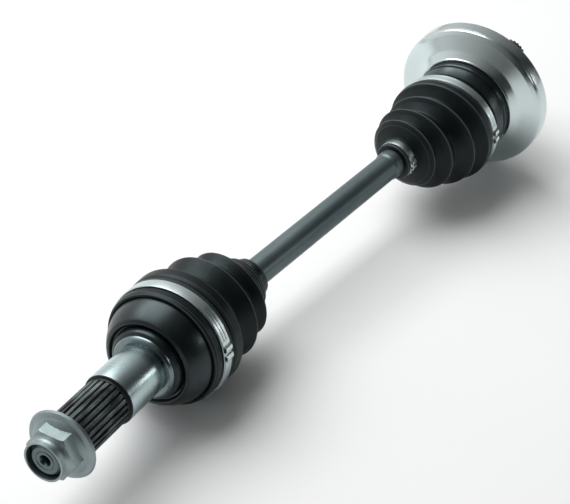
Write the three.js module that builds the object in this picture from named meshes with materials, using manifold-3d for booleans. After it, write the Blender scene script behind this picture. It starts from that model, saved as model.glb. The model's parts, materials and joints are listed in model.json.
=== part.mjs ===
// A CV axle for an all-terrain vehicle, lying on its dust shield and outer boot with both joints bent.
// Millimetres, +Z up, +X from the wheel end towards the differential end.
import * as THREE from "three";
import { mergeVertices } from "three/addons/utils/BufferGeometryUtils.js";
import Module from "manifold-3d";

const wasm = await Module();
wasm.setup();

const DEG = Math.PI / 180;
const UP = new THREE.Vector3(0, 0, 1);
const GAP = 0.3; // between pieces that touch in the real axle

// Facets around a turned piece. Even numbers leave a flat at the very bottom.
const ROUND = 30;
const FINE = 38; // the dust shield
const SMALL = 20; // the bar and the pieces inside the joints

// ---------- driving dimensions ----------
const BAR_R = 9.7;
const JOURNAL_R = 17.5; // seat of the wheel bearing
const SPAN = 340.7; // between the two joint centres

// Headings from +X towards +Y, slopes towards +Z.
const STUB_HEADING = 10.2;
const STUB_SLOPE = -5.2;
const CUP_HEADING = 6.5;
const CUP_SLOPE = 3.9;

// Ball sets, the same in both joints.
const BALL_R = 7.144;
const PITCH_R = 21; // joint centre to ball centre
const BALLS = 6;
const RACE_SPHERE_R = 18.5;
const FACET_ROOM = 0.25; // more, where one faceted sphere turns inside another
const CAGE_IN_R = RACE_SPHERE_R + GAP + FACET_ROOM;
const CAGE_OUT_R = 23;
const SHELL_SPHERE_R = CAGE_OUT_R + GAP;
const RACE_HALF = 8.5;
const CAGE_HALF = 9.8;
const WINDOW_CLEARANCE = 0.35;
// Tracks are elliptical: close under the ball, wider at its sides.
const TRACK_DEPTH_R = BALL_R + 0.5;
const TRACK_SIDE_R = BALL_R + 1.6;

// Splines between the bar and the races.
const BAR_SPLINE = { teeth: 18, outer: 9, depth: 0.9 };
const BAR_END = 12.6; // how far the bar passes a joint centre
const CIRCLIP_AT = 9.9;
const CIRCLIP_WIDE = 1.4;
const CIRCLIP_ROOT_R = 7; // bottom of its groove

// Wheel end, measured from the outer joint centre.
const NUT_END = -128.5;
const NUT_HEX_END = -121.8;
const FLANGE_FRONT = -111.6;
const FLANGE_BACK = -109.3;
const FLANGE_R = 23;
const NUT_COLLAR_R = 13.2;
const HEX_FLATS = 30;
const HEX_TURN = 3; // degrees from level to its first corner
const THREAD_R = 10;
const STUB_END = -126.6;
const CENTRE_HOLE_R = 3.6;
const SPLINE_START = -107.2;
const SPLINE_END = -64.6;
const WHEEL_SPLINE = { teeth: 26, outer: 16.2, depth: 1.5 };
const JOURNAL_START = -62.9;
const JOURNAL_END = -26.5;
const SHOULDER_R = 22.5; // the wheel bearing stops against this face
const NECK_R = 25.5;
const NECK_AT = -18.2;
const BELL_R = 38; // where the boot sits
const BELL_MOUTH = 17;
const BELL_MOUTH_R = 31;

// Differential end, measured from the inner joint centre.
const CUP_R = 37.5;
const CUP_MOUTH = -35;
const CUP_BACK = 38;
const CUP_BORE_END = 34;
const STOP_RING_AT = -28;
const SHIELD_FOLD = 10;
const SHIELD_RIM = 22;
const SHIELD_R = 58.4;
const DIFF_SPLINE = { teeth: 24, outer: 13, depth: 1.2 };
const DIFF_JOURNAL_R = 16;
const DIFF_JOURNAL_END = 52;
const DIFF_END = 82.5;
const DIFF_CLIP_AT = DIFF_END - 6;

// Band clamps: width, and radius of the band's outside.
const CLAMP_THICK = 1;
const OUTER_LARGE = { from: 3, to: 11.5, radius: 42 };
const OUTER_SMALL = { from: 80.6, to: 84.8, radius: 14.4 };
const INNER_SMALL = { from: -91, to: -85.5, radius: 14.4 };
const INNER_LARGE = { from: -32.5, to: -26, radius: 40.6 };

// ---------- where the pieces lie ----------
const OUTER_CREST = { at: 25.5, radius: 42.2 }; // the outer boot's biggest ring
// Middle of the two joint centres, seen from the middle of the whole axle's box.
const MIDDLE = new THREE.Vector3(22.73, -1.92, 0);

function direction(heading, slope) {
  const h = heading * DEG;
  const s = slope * DEG;
  return new THREE.Vector3(Math.cos(h) * Math.cos(s), Math.sin(h) * Math.cos(s), Math.sin(s));
}

const stubAxis = direction(STUB_HEADING, STUB_SLOPE);
const cupAxis = direction(CUP_HEADING, CUP_SLOPE);

// Height of an axis point whose ring, `along` further on, touches the floor with a flat.
function heightOver(ring, axis, along, facets) {
  const flat = ring * Math.cos(Math.PI / facets);
  return flat * Math.cos(Math.asin(axis.z)) - along * axis.z;
}

const outerHeight = heightOver(OUTER_CREST.radius, stubAxis, OUTER_CREST.at, ROUND);
const cupHeight = heightOver(SHIELD_R, cupAxis, SHIELD_FOLD, FINE);
const barAxis = direction(0, Math.asin((cupHeight - outerHeight) / SPAN) / DEG);
const outerCentre = MIDDLE.clone().addScaledVector(barAxis, -SPAN / 2);
outerCentre.z = outerHeight;
const innerCentre = outerCentre.clone().addScaledVector(barAxis, SPAN);

// Each joint bends about this axis in the pose shown.
const outerHinge = new THREE.Vector3().crossVectors(barAxis, stubAxis).normalize();
const innerHinge = new THREE.Vector3().crossVectors(barAxis, cupAxis).normalize();

// X along the piece's axis, Z as near to up as that allows.
function frame(origin, axis) {
  const x = axis.clone().normalize();
  const y = new THREE.Vector3().crossVectors(UP, x).normalize();
  const z = new THREE.Vector3().crossVectors(x, y);
  return new THREE.Matrix4().makeBasis(x, y, z).setPosition(origin);
}

// Angle round X, from Y towards Z, at which a direction points in a frame.
function rollOf(vector, axis) {
  const local = vector.clone().transformDirection(frame(new THREE.Vector3(), axis).invert());
  return Math.atan2(local.z, local.y);
}

function halfway(a, b) {
  return a.clone().add(b).normalize();
}

const stubFrame = frame(outerCentre, stubAxis);
const barFrame = frame(outerCentre, barAxis);
const cupFrame = frame(innerCentre, cupAxis);
const outerCageAxis = halfway(barAxis, stubAxis);
const innerCageAxis = halfway(barAxis, cupAxis);

// ---------- solids ----------
function solid(geometry) {
  const flat = geometry.index ? geometry.toNonIndexed() : geometry;
  const bare = new THREE.BufferGeometry().setAttribute("position", flat.getAttribute("position"));
  const merged = mergeVertices(bare, 1e-4);
  const index = merged.index.array;
  const vertices = merged.attributes.position.array;
  const faces = [];
  let volume = 0;
  const corner = [0, 1, 2].map(() => new THREE.Vector3());
  for (let i = 0; i < index.length; i += 3) {
    const [a, b, c] = [index[i], index[i + 1], index[i + 2]];
    if (a === b || b === c || c === a) continue;
    faces.push([a, b, c]);
    [a, b, c].forEach((v, k) => corner[k].fromArray(vertices, v * 3));
    volume += corner[0].dot(corner[1].clone().cross(corner[2]));
  }
  const outward = volume < 0 ? faces.map(([a, b, c]) => [a, c, b]) : faces;
  return new wasm.Manifold(
    new wasm.Mesh({
      numProp: 3,
      vertProperties: vertices,
      triVerts: new Uint32Array(outward.flat()),
    }),
  );
}

// A profile of [x, radius] points turned about X.
function turned(profile, facets = ROUND) {
  const points = profile.map(([x, r]) => new THREE.Vector2(r, x));
  const geometry = new THREE.LatheGeometry(points, facets, Math.PI / facets);
  return solid(geometry.rotateZ(-Math.PI / 2));
}

function ring(from, to, inner, outer, facets = ROUND) {
  return turned([[from, inner], [to, inner], [to, outer], [from, outer], [from, inner]], facets);
}

function rod(from, to, radius, facets = ROUND) {
  return turned([[from, 0], [from, radius], [to, radius], [to, 0]], facets);
}

// Points of an arc in a profile, angles in degrees from +x towards +r.
function arc(x, r, radius, from, to, steps) {
  return Array.from({ length: steps + 1 }, (_, i) => {
    const a = (from + ((to - from) * i) / steps) * DEG;
    return [x + radius * Math.cos(a), r + radius * Math.sin(a)];
  });
}

// An outline in the YZ plane, pushed along X.
function pushed(points, from, to) {
  const shape = new THREE.Shape(points.map(([y, z]) => new THREE.Vector2(y, z)));
  const geometry = new THREE.ExtrudeGeometry(shape, { depth: to - from, bevelEnabled: false, steps: 1 });
  const [x, y, z] = [0, 1, 2].map((i) => new THREE.Vector3().setComponent(i, 1));
  geometry.applyMatrix4(new THREE.Matrix4().makeBasis(y, z, x).setPosition(from, 0, 0));
  return solid(geometry);
}

function polar(radius, angle) {
  return [radius * Math.cos(angle), radius * Math.sin(angle)];
}

// A toothed shaft, or with `extra` the broach that cuts its bore.
function spline({ teeth, outer, depth }, from, to, extra = 0) {
  const points = [];
  const pitch = (2 * Math.PI) / teeth;
  const land = 0.2;
  for (let i = 0; i < teeth; i++) {
    points.push(polar(outer - depth + extra, (i - 0.5 + land * 0.7) * pitch));
    points.push(polar(outer + extra, (i - land) * pitch));
    points.push(polar(outer + extra, (i + land) * pitch));
    points.push(polar(outer - depth + extra, (i + 0.5 - land * 0.7) * pitch));
  }
  return pushed(points, from, to);
}

// Rings of points joined into one closed body: capped at both ends, or running back into its start.
function loft(rings, loop = false) {
  const count = rings[0].length;
  const vertices = rings.flat().flatMap((p) => [p.x, p.y, p.z]);
  const faces = [];
  const last = loop ? rings.length : rings.length - 1;
  for (let i = 0; i < last; i++) {
    const here = i * count;
    const next = ((i + 1) % rings.length) * count;
    for (let j = 0; j < count; j++) {
      const k = (j + 1) % count;
      faces.push(here + j, next + j, next + k, here + j, next + k, here + k);
    }
  }
  if (!loop) {
    const end = (rings.length - 1) * count;
    for (let j = 1; j < count - 1; j++) faces.push(0, j, j + 1, end, end + j + 1, end + j);
  }
  const geometry = new THREE.BufferGeometry();
  geometry.setAttribute("position", new THREE.Float32BufferAttribute(vertices, 3));
  geometry.setIndex(faces);
  return solid(geometry);
}

function turnedBy(body, angle) {
  return body.rotate([angle / DEG, 0, 0]);
}

function placed(body, matrix) {
  return body.transform(matrix.elements);
}

// ---------- tracks for the balls ----------
// The space a ball needs along a line of stations { along, out, size }, seen at angle zero round X.
function track(stations) {
  const sides = 10;
  const rings = stations.map(({ along, out, tilt, size }) => {
    const outward = new THREE.Vector3(Math.sin(tilt), Math.cos(tilt), 0);
    return Array.from({ length: sides }, (_, i) => {
      const a = (2 * Math.PI * (i + 0.5)) / sides;
      const grown = size / Math.cos(Math.PI / sides);
      const point = new THREE.Vector3(along, out, 0);
      point.addScaledVector(outward, TRACK_DEPTH_R * grown * Math.cos(a));
      point.z = TRACK_SIDE_R * grown * Math.sin(a);
      return point;
    });
  });
  return loft(rings);
}

// An arc about the joint centre, from one latitude to another, with a rounded start where asked.
function arcTrack(from, to, roundStart = false) {
  const steps = 7;
  const at = (latitude, size = 1) => ({
    along: PITCH_R * Math.sin(latitude),
    out: PITCH_R * Math.cos(latitude),
    tilt: latitude,
    size,
  });
  const stations = [];
  if (roundStart) {
    for (const turn of [75, 40]) {
      const reach = (TRACK_DEPTH_R * Math.sin(turn * DEG)) / PITCH_R;
      stations.push(at(from * DEG - reach, Math.cos(turn * DEG)));
    }
  }
  for (let i = 0; i <= steps; i++) stations.push(at((from + ((to - from) * i) / steps) * DEG));
  return track(stations);
}

function straightTrack(from, to) {
  const ends = [from, to].map((along) => ({ along, out: PITCH_R, tilt: 0, size: 1 }));
  const nose = [30, 60].map((turn) => ({
    along: to + TRACK_DEPTH_R * Math.sin(turn * DEG),
    out: PITCH_R,
    tilt: 0,
    size: Math.cos(turn * DEG),
  }));
  return track([...ends, ...nose]);
}

function withoutTracks(body, cut, roll) {
  let left = body;
  for (let i = 0; i < BALLS; i++) {
    left = left.subtract(turnedBy(cut, roll + (2 * Math.PI * i) / BALLS));
  }
  return left;
}

// ---------- pieces inside both joints ----------
function race(roll, centre) {
  const edge = Math.sqrt(RACE_SPHERE_R ** 2 - RACE_HALF ** 2);
  const lift = Math.asin(RACE_HALF / RACE_SPHERE_R) / DEG;
  const profile = [
    [-RACE_HALF, 4],
    [-RACE_HALF, edge],
    ...arc(0, 0, RACE_SPHERE_R, 90 + lift, 90 - lift, 4).slice(1, -1),
    [RACE_HALF, edge],
    [RACE_HALF, 4],
    [-RACE_HALF, 4],
  ];
  const body = withoutTracks(turned(profile, SMALL), arcTrack(-40, 40), roll);
  const bore = spline(BAR_SPLINE, -RACE_HALF - 1, RACE_HALF + 1, GAP);
  return body.subtract(bore).translate([centre, 0, 0]);
}

function cage(roll) {
  const arcOf = (radius, from, to, steps) => {
    const lift = Math.asin(CAGE_HALF / radius) / DEG;
    return arc(0, 0, radius, 90 + from * lift, 90 + to * lift, steps);
  };
  const inside = arcOf(CAGE_IN_R, 1, -1, 4);
  const outside = arcOf(CAGE_OUT_R, -1, 1, 4);
  let body = turned([...inside, ...outside, inside[0]], SMALL);
  const wide = 2 * (BALL_R + WINDOW_CLEARANCE);
  for (let i = 0; i < BALLS; i++) {
    const window = solid(new THREE.BoxGeometry(wide, 20, wide + 0.6).translate(0, PITCH_R, 0));
    body = body.subtract(turnedBy(window, roll + (2 * Math.PI * i) / BALLS));
  }
  return body;
}

function ball(roll, i) {
  const [y, z] = polar(PITCH_R, roll + (2 * Math.PI * i) / BALLS);
  return solid(new THREE.SphereGeometry(BALL_R, 10, 7)).translate([0, y, z]);
}

// A wire ring of rectangular section with a gap at the top.
function snapRing(from, to, inner, outer, gap) {
  const body = ring(from, to, inner, outer, 16);
  const slot = solid(new THREE.BoxGeometry(4 * (to - from), gap, 2 * outer));
  return body.subtract(slot.translate([(from + to) / 2, 0, outer]));
}

// ---------- the bar ----------
function axleBar() {
  const neck = 8.5;
  const root = BAR_SPLINE.outer - BAR_SPLINE.depth - 0.5;
  const collar = 10.9; // raised land beside the inner boot
  const land = SPAN - 108;
  const toothed = (from, to) => spline(BAR_SPLINE, from, to);
  const shaft = turned([
    [-RACE_HALF, 0],
    [-RACE_HALF, root],
    [RACE_HALF + 1, root],
    [RACE_HALF + 2.5, neck],
    [24, neck],
    [30, BAR_R],
    [land, BAR_R],
    [land + 2, collar],
    [land + 12, collar],
    [land + 14, BAR_R],
    [SPAN - 80, BAR_R],
    [SPAN - 74, neck],
    [SPAN - RACE_HALF - 2.5, neck],
    [SPAN - RACE_HALF - 1, root],
    [SPAN + RACE_HALF, root],
    [SPAN + RACE_HALF, 0],
  ], SMALL);
  const grooves = [-CIRCLIP_AT, SPAN + CIRCLIP_AT].map((x) =>
    ring(x - CIRCLIP_WIDE / 2 - GAP / 2, x + CIRCLIP_WIDE / 2 + GAP / 2, CIRCLIP_ROOT_R, 12, 16),
  );
  let body = shaft.add(toothed(-BAR_END, RACE_HALF + 1.5));
  body = body.add(toothed(SPAN - RACE_HALF - 1.5, SPAN + BAR_END));
  return grooves.reduce((left, groove) => left.subtract(groove), body);
}

function barCirclip(x) {
  return snapRing(x - CIRCLIP_WIDE / 2, x + CIRCLIP_WIDE / 2, CIRCLIP_ROOT_R + GAP, 10.6, 4);
}

// ---------- wheel end ----------
function outerHousing(roll) {
  const domeR = 33; // of the flank between the neck and the boot
  const root = WHEEL_SPLINE.outer - WHEEL_SPLINE.depth - 0.7;
  const relief = JOURNAL_R - 2.1; // ground clearance beside the bearing seat
  const profile = [
    [STUB_END, 0],
    [STUB_END, THREAD_R - 1],
    [STUB_END + 1, THREAD_R],
    [SPLINE_START, THREAD_R],
    [SPLINE_START, root],
    [SPLINE_END, root],
    [SPLINE_END, relief],
    [JOURNAL_START, relief],
    [JOURNAL_START + 0.8, JOURNAL_R],
    [JOURNAL_END - 1.2, JOURNAL_R],
    [JOURNAL_END, JOURNAL_R + 1.2],
    [JOURNAL_END, SHOULDER_R],
    [JOURNAL_END + 1, SHOULDER_R + 0.8],
    [NECK_AT - 2.2, NECK_R - 0.6],
    [NECK_AT - 1.8, NECK_R - 1.6],
    [NECK_AT - 0.6, NECK_R - 1.6],
    [NECK_AT, NECK_R],
    ...arc(1.2, 5, domeR, 133, 97, 5),
    [0, BELL_R],
    [BELL_MOUTH, BELL_R],
    [BELL_MOUTH, BELL_MOUTH_R],
    ...arc(0, 0, SHELL_SPHERE_R, 67, 180, 8).slice(0, -1),
    [-SHELL_SPHERE_R, 0],
  ];
  const body = turned(profile).add(spline(WHEEL_SPLINE, SPLINE_START, SPLINE_END));
  const centreHole = rod(STUB_END - 1, STUB_END + 9, CENTRE_HOLE_R, 16);
  const hollow = withoutTracks(body, arcTrack(-31, 66, true), roll);
  return hollow.subtract(centreHole);
}

function axleNut() {
  const hexR = HEX_FLATS / 2 / Math.cos(30 * DEG);
  const corners = Array.from({ length: 6 }, (_, i) => polar(hexR, (i * 60 + HEX_TURN) * DEG));
  const hex = pushed(corners, NUT_HEX_END, FLANGE_FRONT + 1);
  const flange = turned([
    [NUT_HEX_END + 4, 0],
    [NUT_HEX_END + 4, 12],
    [FLANGE_FRONT - 1.6, 17],
    [FLANGE_FRONT, FLANGE_R],
    [FLANGE_BACK, FLANGE_R],
    [FLANGE_BACK, 0],
  ]);
  const collar = rod(NUT_END, NUT_HEX_END + 2, NUT_COLLAR_R);
  const bore = rod(NUT_END - 1, FLANGE_BACK + 1, THREAD_R + GAP);
  const staking = rod(NUT_END - 1, NUT_HEX_END - 1.4, NUT_COLLAR_R - 1.3);
  return hex.add(flange).add(collar).subtract(bore).subtract(staking);
}

// ---------- differential end ----------
function innerHousing(roll) {
  const seat = CUP_R + 0.2; // of the boot's lip
  const bore = SHELL_SPHERE_R + 0.1;
  const mouth = bore + 7;
  const stub = 11.2; // under the splines
  const profile = [
    [CUP_MOUTH, mouth],
    [CUP_MOUTH, seat],
    [CUP_MOUTH + 12, seat],
    [CUP_MOUTH + 13, CUP_R - 1.4],
    [CUP_MOUTH + 15, CUP_R - 1.4],
    [CUP_MOUTH + 16, CUP_R],
    [-8, CUP_R],
    [-7, CUP_R - 1.2],
    [-5.6, CUP_R - 1.2],
    [-4.6, CUP_R],
    [6, CUP_R],
    [6, CUP_R - 3],
    [CUP_BACK - 9, CUP_R - 3],
    ...arc(CUP_BACK - 9, CUP_R - 12, 9, 90, 0, 4).slice(1),
    [CUP_BACK, DIFF_JOURNAL_R + 3],
    [CUP_BACK + 3, DIFF_JOURNAL_R],
    [DIFF_JOURNAL_END, DIFF_JOURNAL_R],
    [DIFF_JOURNAL_END + 1, stub],
    [DIFF_END - 1, stub],
    [DIFF_END, stub - 1.2],
    [DIFF_END, 0],
    [CUP_BORE_END, 0],
    [CUP_BORE_END, 12],
    [CUP_BORE_END - 9, bore],
    [STOP_RING_AT + 1, bore],
    [STOP_RING_AT + 1, bore + 1.5],
    [STOP_RING_AT - 1, bore + 1.5],
    [STOP_RING_AT - 1, bore],
    [CUP_MOUTH, mouth],
  ];
  const toothed = spline(DIFF_SPLINE, DIFF_JOURNAL_END + 4, DIFF_END - 1);
  const body = turned(profile).add(toothed);
  const clipGroove = ring(DIFF_CLIP_AT - 1, DIFF_CLIP_AT + 1, stub - 0.6, 20, 16);
  return withoutTracks(body.subtract(clipGroove), straightTrack(CUP_MOUTH - 1, 19), roll);
}

// A spun sheet dish: a collar on the housing, a fillet, a cone out to the fold, and a skirt.
function dustShield() {
  const sheet = 1.6;
  const hub = CUP_R + GAP;
  const start = -1.2;
  const fillet = 4.6;
  const fold = 2.6;
  const outside = [
    [start, hub],
    [start, hub + sheet],
    ...arc(start - 0.2, hub + sheet + fillet, fillet, -90, -28, 4).slice(1),
    [SHIELD_FOLD - 1.8, SHIELD_R - fold],
    ...arc(SHIELD_FOLD + 2, SHIELD_R - fold, fold, 150, 90, 3),
    [SHIELD_RIM, SHIELD_R],
  ];
  const inside = [
    [SHIELD_RIM, SHIELD_R - sheet],
    [SHIELD_FOLD + 2.2, SHIELD_R - sheet],
    [SHIELD_FOLD - 0.4, SHIELD_R - sheet - 2.2],
    [5, hub + 8],
    [4.4, hub],
  ];
  return turned([...outside, ...inside, outside[0]], FINE);
}

// ---------- boots and clamps ----------
function smooth(t) {
  const x = Math.min(1, Math.max(0, t));
  return x * x * (3 - 2 * x);
}

// The boot's outside as [along, radius]. Its rings turn from the housing's axis to the bar's.
const outerBootProfile = [
  [-4.5, 39.9], [-3.6, 40.7], [11.8, 40.7], [12.2, 41.7],
  [14.4, 41.7], [15.6, 40], [17.2, 41.9], [OUTER_CREST.at, OUTER_CREST.radius],
  [30, 37], [36, 33.2], [43, 35.4], [47.7, 37.6], [52, 32], [56, 28.8],
  [60, 29.8], [63.6, 31.4], [67, 26], [71, 22], [74.5, 20.4], [77.5, 18.6],
  [79.2, 15], [80.3, 13], [85, 13], [85.4, 13.8], [86.4, 13.2],
];
const innerBootProfile = [
  [-24.4, 39.4], [-25.6, 40.1], [-25.8, 39.3], [-32.7, 39.3], [-33, 40.3], [-36, 41.2],
  [-40.5, 41], [-44, 36], [-47.5, 33.8], [-51.7, 37.3], [-56, 32], [-61, 28.6],
  [-65, 30.2], [-68, 32.8], [-71.5, 27], [-75, 24.8], [-78.8, 27.2], [-81.5, 23],
  [-83.6, 15.2], [-85.2, 13], [-91.3, 13], [-92, 14], [-94, 13.4],
];

function boot(profile, inner, centre, axis, hinge, bendFrom, bendTo) {
  const bend = Math.acos(barAxis.dot(axis));
  const place = ([along, radius], angle) => {
    const weight = smooth((along - bendFrom) / (bendTo - bendFrom));
    // The hinge turns the bar's axis into the housing's, so the rings turn back by what the bar has taken.
    const turn = new THREE.Matrix4().makeRotationAxis(hinge, -weight * bend);
    const point = new THREE.Vector3(along, ...polar(radius, angle));
    point.applyMatrix4(frame(new THREE.Vector3(), axis)).applyMatrix4(turn);
    return point.add(centre);
  };
  const around = Array.from({ length: ROUND }, (_, i) => ((2 * i + 1) * Math.PI) / ROUND + Math.PI / 2);
  return loft([...profile, ...inner].map((station) => around.map((a) => place(station, a))), true);
}

// The inside of a boot: the lip sits on its seat, the folds keep an even wall, the neck grips the bar.
function bootInside(profile, seat, seatEnd, wall) {
  const neckR = BAR_R + GAP;
  const folds = profile.filter(([x]) => Math.abs(x) > Math.abs(seatEnd) + 4);
  const thinned = folds.map(([x, r]) => [x, Math.max(neckR, r - wall)]);
  const [start] = profile[0];
  return [[start, seat], [seatEnd, seat], ...thinned].reverse();
}

// A band with its tightening ear.
function clamp({ from, to, radius }, earAngle) {
  const inner = radius - CLAMP_THICK;
  const band = ring(from, to, inner, radius, ROUND);
  const inset = 0.6; // of the ear from the band's edges
  const earWide = 5.5;
  const earHigh = 2.6;
  const ear = pushed(
    [
      [radius - 0.6, -earWide],
      [radius - 0.4, earWide],
      [radius + earHigh * 0.5, earWide * 0.75],
      [radius + earHigh, earWide * 0.4],
      [radius + earHigh, -earWide * 0.4],
      [radius + earHigh * 0.5, -earWide * 0.75],
    ],
    from + inset,
    to - inset,
  );
  return band.add(turnedBy(ear, earAngle));
}

// ---------- the assembly ----------
const axle = new THREE.Group();

function add(name, body, matrix, colour, roughness, metalness) {
  const mesh = placed(body, matrix).getMesh();
  const geometry = new THREE.BufferGeometry();
  geometry.setAttribute("position", new THREE.BufferAttribute(mesh.vertProperties, 3));
  geometry.setIndex(new THREE.BufferAttribute(mesh.triVerts, 1));
  geometry.computeVertexNormals();
  const material = new THREE.MeshStandardMaterial({ color: colour, roughness, metalness });
  const made = new THREE.Mesh(geometry, material);
  made.name = name;
  axle.add(made);
}

const BLACK_PAINT = [0x191c1d, 0.38, 0.4];
const DARK_STEEL = [0x4c5557, 0.42, 0.9];
const BEARING_STEEL = [0xb9bec0, 0.2, 1];
const ZINC = [0xc3c9c9, 0.34, 1];
const RUBBER = [0x111313, 0.6, 0];

const here = new THREE.Matrix4();

function addJoint(prefix, cageAxis, centre, raceAt, hinge) {
  add(`${prefix}_inner_race`, race(rollOf(hinge, barAxis), raceAt), barFrame, ...DARK_STEEL);
  const cageFrame = frame(centre, cageAxis);
  const roll = rollOf(hinge, cageAxis);
  add(`${prefix}_cage`, cage(roll), cageFrame, ...BEARING_STEEL);
  for (let i = 0; i < BALLS; i++) {
    add(`${prefix}_ball_${i + 1}`, ball(roll, i), cageFrame, ...BEARING_STEEL);
  }
}

add("axle_bar", axleBar(), barFrame, ...DARK_STEEL);
add("outer_joint_circlip", barCirclip(-CIRCLIP_AT), barFrame, ...ZINC);
add("inner_joint_circlip", barCirclip(SPAN + CIRCLIP_AT), barFrame, ...ZINC);
addJoint("outer_joint", outerCageAxis, outerCentre, 0, outerHinge);
addJoint("inner_joint", innerCageAxis, innerCentre, SPAN, innerHinge);

add("outer_joint_housing", outerHousing(rollOf(outerHinge, stubAxis)), stubFrame, ...BLACK_PAINT);
add("axle_nut", axleNut(), stubFrame, ...ZINC);

add("inner_joint_housing", innerHousing(rollOf(innerHinge, cupAxis)), cupFrame, ...BLACK_PAINT);
const wireR = SHELL_SPHERE_R + 0.1;
const stopRing = snapRing(STOP_RING_AT - 0.7, STOP_RING_AT + 0.7, wireR - 0.8, wireR + 1.2, 5);
add("inner_joint_stop_ring", stopRing, cupFrame, ...ZINC);
const stubClip = snapRing(DIFF_CLIP_AT - 0.7, DIFF_CLIP_AT + 0.7, 10.9, 13.1, 4);
add("inner_stub_circlip", stubClip, cupFrame, ...ZINC);
add("dust_shield", dustShield(), cupFrame, ...ZINC);

const outerInside = bootInside(outerBootProfile, BELL_R + GAP, BELL_MOUTH + 1, 2.4);
const outerBoot = boot(outerBootProfile, outerInside, outerCentre, stubAxis, outerHinge, 16, 76);
add("outer_boot", outerBoot, here, ...RUBBER);
const innerInside = bootInside(innerBootProfile, CUP_R + 0.2 + GAP, CUP_MOUTH - 1, 2.4);
const innerBoot = boot(innerBootProfile, innerInside, innerCentre, cupAxis, innerHinge, -36, -82);
add("inner_boot", innerBoot, here, ...RUBBER);

add("outer_boot_large_clamp", clamp(OUTER_LARGE, 170 * DEG), stubFrame, ...ZINC);
add("outer_boot_small_clamp", clamp(OUTER_SMALL, 20 * DEG), barFrame, ...BLACK_PAINT);
const innerSmall = { ...INNER_SMALL, from: INNER_SMALL.from + SPAN, to: INNER_SMALL.to + SPAN };
add("inner_boot_small_clamp", clamp(innerSmall, 175 * DEG), barFrame, ...ZINC);
add("inner_boot_large_clamp", clamp(INNER_LARGE, 175 * DEG), cupFrame, ...ZINC);

export default axle;
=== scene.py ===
"""The looks of a CV axle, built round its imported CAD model.

Sizes are in millimetres until a piece is placed.
"""

import json
import math

import bmesh
import bpy
from mathutils import Matrix, Vector

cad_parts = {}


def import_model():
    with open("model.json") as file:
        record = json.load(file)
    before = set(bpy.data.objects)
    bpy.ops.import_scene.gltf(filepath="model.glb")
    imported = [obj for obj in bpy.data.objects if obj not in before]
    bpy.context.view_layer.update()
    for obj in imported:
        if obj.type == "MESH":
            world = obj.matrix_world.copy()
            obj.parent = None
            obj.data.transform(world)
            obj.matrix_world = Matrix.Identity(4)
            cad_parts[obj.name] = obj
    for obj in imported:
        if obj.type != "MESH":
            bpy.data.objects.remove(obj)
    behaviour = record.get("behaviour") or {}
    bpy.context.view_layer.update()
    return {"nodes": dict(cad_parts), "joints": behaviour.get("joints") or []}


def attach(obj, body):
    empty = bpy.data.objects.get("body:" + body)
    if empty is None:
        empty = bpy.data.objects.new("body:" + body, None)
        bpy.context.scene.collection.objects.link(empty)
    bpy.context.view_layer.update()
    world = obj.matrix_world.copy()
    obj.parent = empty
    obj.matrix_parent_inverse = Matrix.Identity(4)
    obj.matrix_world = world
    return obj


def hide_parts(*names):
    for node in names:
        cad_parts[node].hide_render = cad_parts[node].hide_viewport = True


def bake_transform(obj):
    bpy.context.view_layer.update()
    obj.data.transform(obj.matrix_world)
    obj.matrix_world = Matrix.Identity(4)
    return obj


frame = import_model()

MM = 0.001
UP = Vector((0, 0, 1))
FINE = 144  # facets round the large turned pieces
SMALL = 96  # facets round the slimmer ones

# ---------- where the axle's lines run, from its joints ----------
joints = {j["name"]: j for j in frame["joints"]}
outer_centre = Vector(joints["outer_bend_a"]["pos_m"]) / MM
inner_centre = Vector(joints["inner_bend_a"]["pos_m"]) / MM
outer_hinge = Vector(joints["outer_bend_a"]["axis"])
inner_hinge = Vector(joints["inner_bend_a"]["axis"])
stub_axis = Vector(joints["nut_turn"]["axis"])
cup_axis = Vector(joints["inner_plunge"]["axis"])
bar_axis = (inner_centre - outer_centre).normalized()
SPAN = (inner_centre - outer_centre).length

# Wheel end, from the outer joint's centre along the stub.
NUT_END = -128.5
HEX_END = -121.8
FLANGE_FRONT = -111.6
FLANGE_BACK = -109.3
STUB_END = -126.6
SPLINE_START = -107.2
SPLINE_END = -64.6
SEAT_START = -62.9
SEAT_END = -26.5
NECK_AT = -18.2
BELL_MOUTH = 17
THREAD_R = 10
SEAT_R = 17.5
NECK_R = 25.5
BELL_R = 38
NUT_HALF_FLATS = 15
NUT_TURN = math.radians(3)  # of the hexagon, as it stands in the rest pose
NUT_BORE_R = 10.5
NUT_FLANGE_R = 23.2
WHEEL_SPLINE_R = 16.2
WHEEL_TEETH = 26

# Differential end, from the inner joint's centre along the cup.
CUP_R = 37.5
CUP_MOUTH = -35
CUP_BACK = 38
FOLD = 10
RIM = 22
SHIELD_R = 58.4
SEAL_SEAT_R = 16
SEAL_SEAT_END = 52
DIFF_END = 82.5
DIFF_GROOVE = DIFF_END - 6
DIFF_SPLINE_R = 13
DIFF_CORE_R = 10.5
DIFF_TEETH = 24

# The bar, from the outer joint's centre.
BAR_R = 9.7
BAR_NECK_R = 8.5
BAR_CORE_R = 7.6
BAR_LAND_R = 10.6
BAR_LAND_START = SPAN - 102.5
BAR_TEETH = 18

# Inside and around both joints.
HOLLOW_R = 29.2
BOOT_WALL = 2.3
SMALL_CLAMP_R = 14.4


def frame_at(centre, axis):
    """X along the axis, Z as near to up as that allows, in metres."""
    x = axis.normalized()
    y = UP.cross(x).normalized()
    z = x.cross(y)
    turn = Matrix((x, y, z)).transposed().to_4x4()
    return Matrix.Translation(centre * MM) @ turn


STUB = frame_at(outer_centre, stub_axis)
BAR = frame_at(outer_centre, bar_axis)
CUP = frame_at(inner_centre, cup_axis)


# ---------- meshes ----------
def smooth(t):
    t = min(1.0, max(0.0, t))
    return t * t * (3 - 2 * t)


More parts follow.
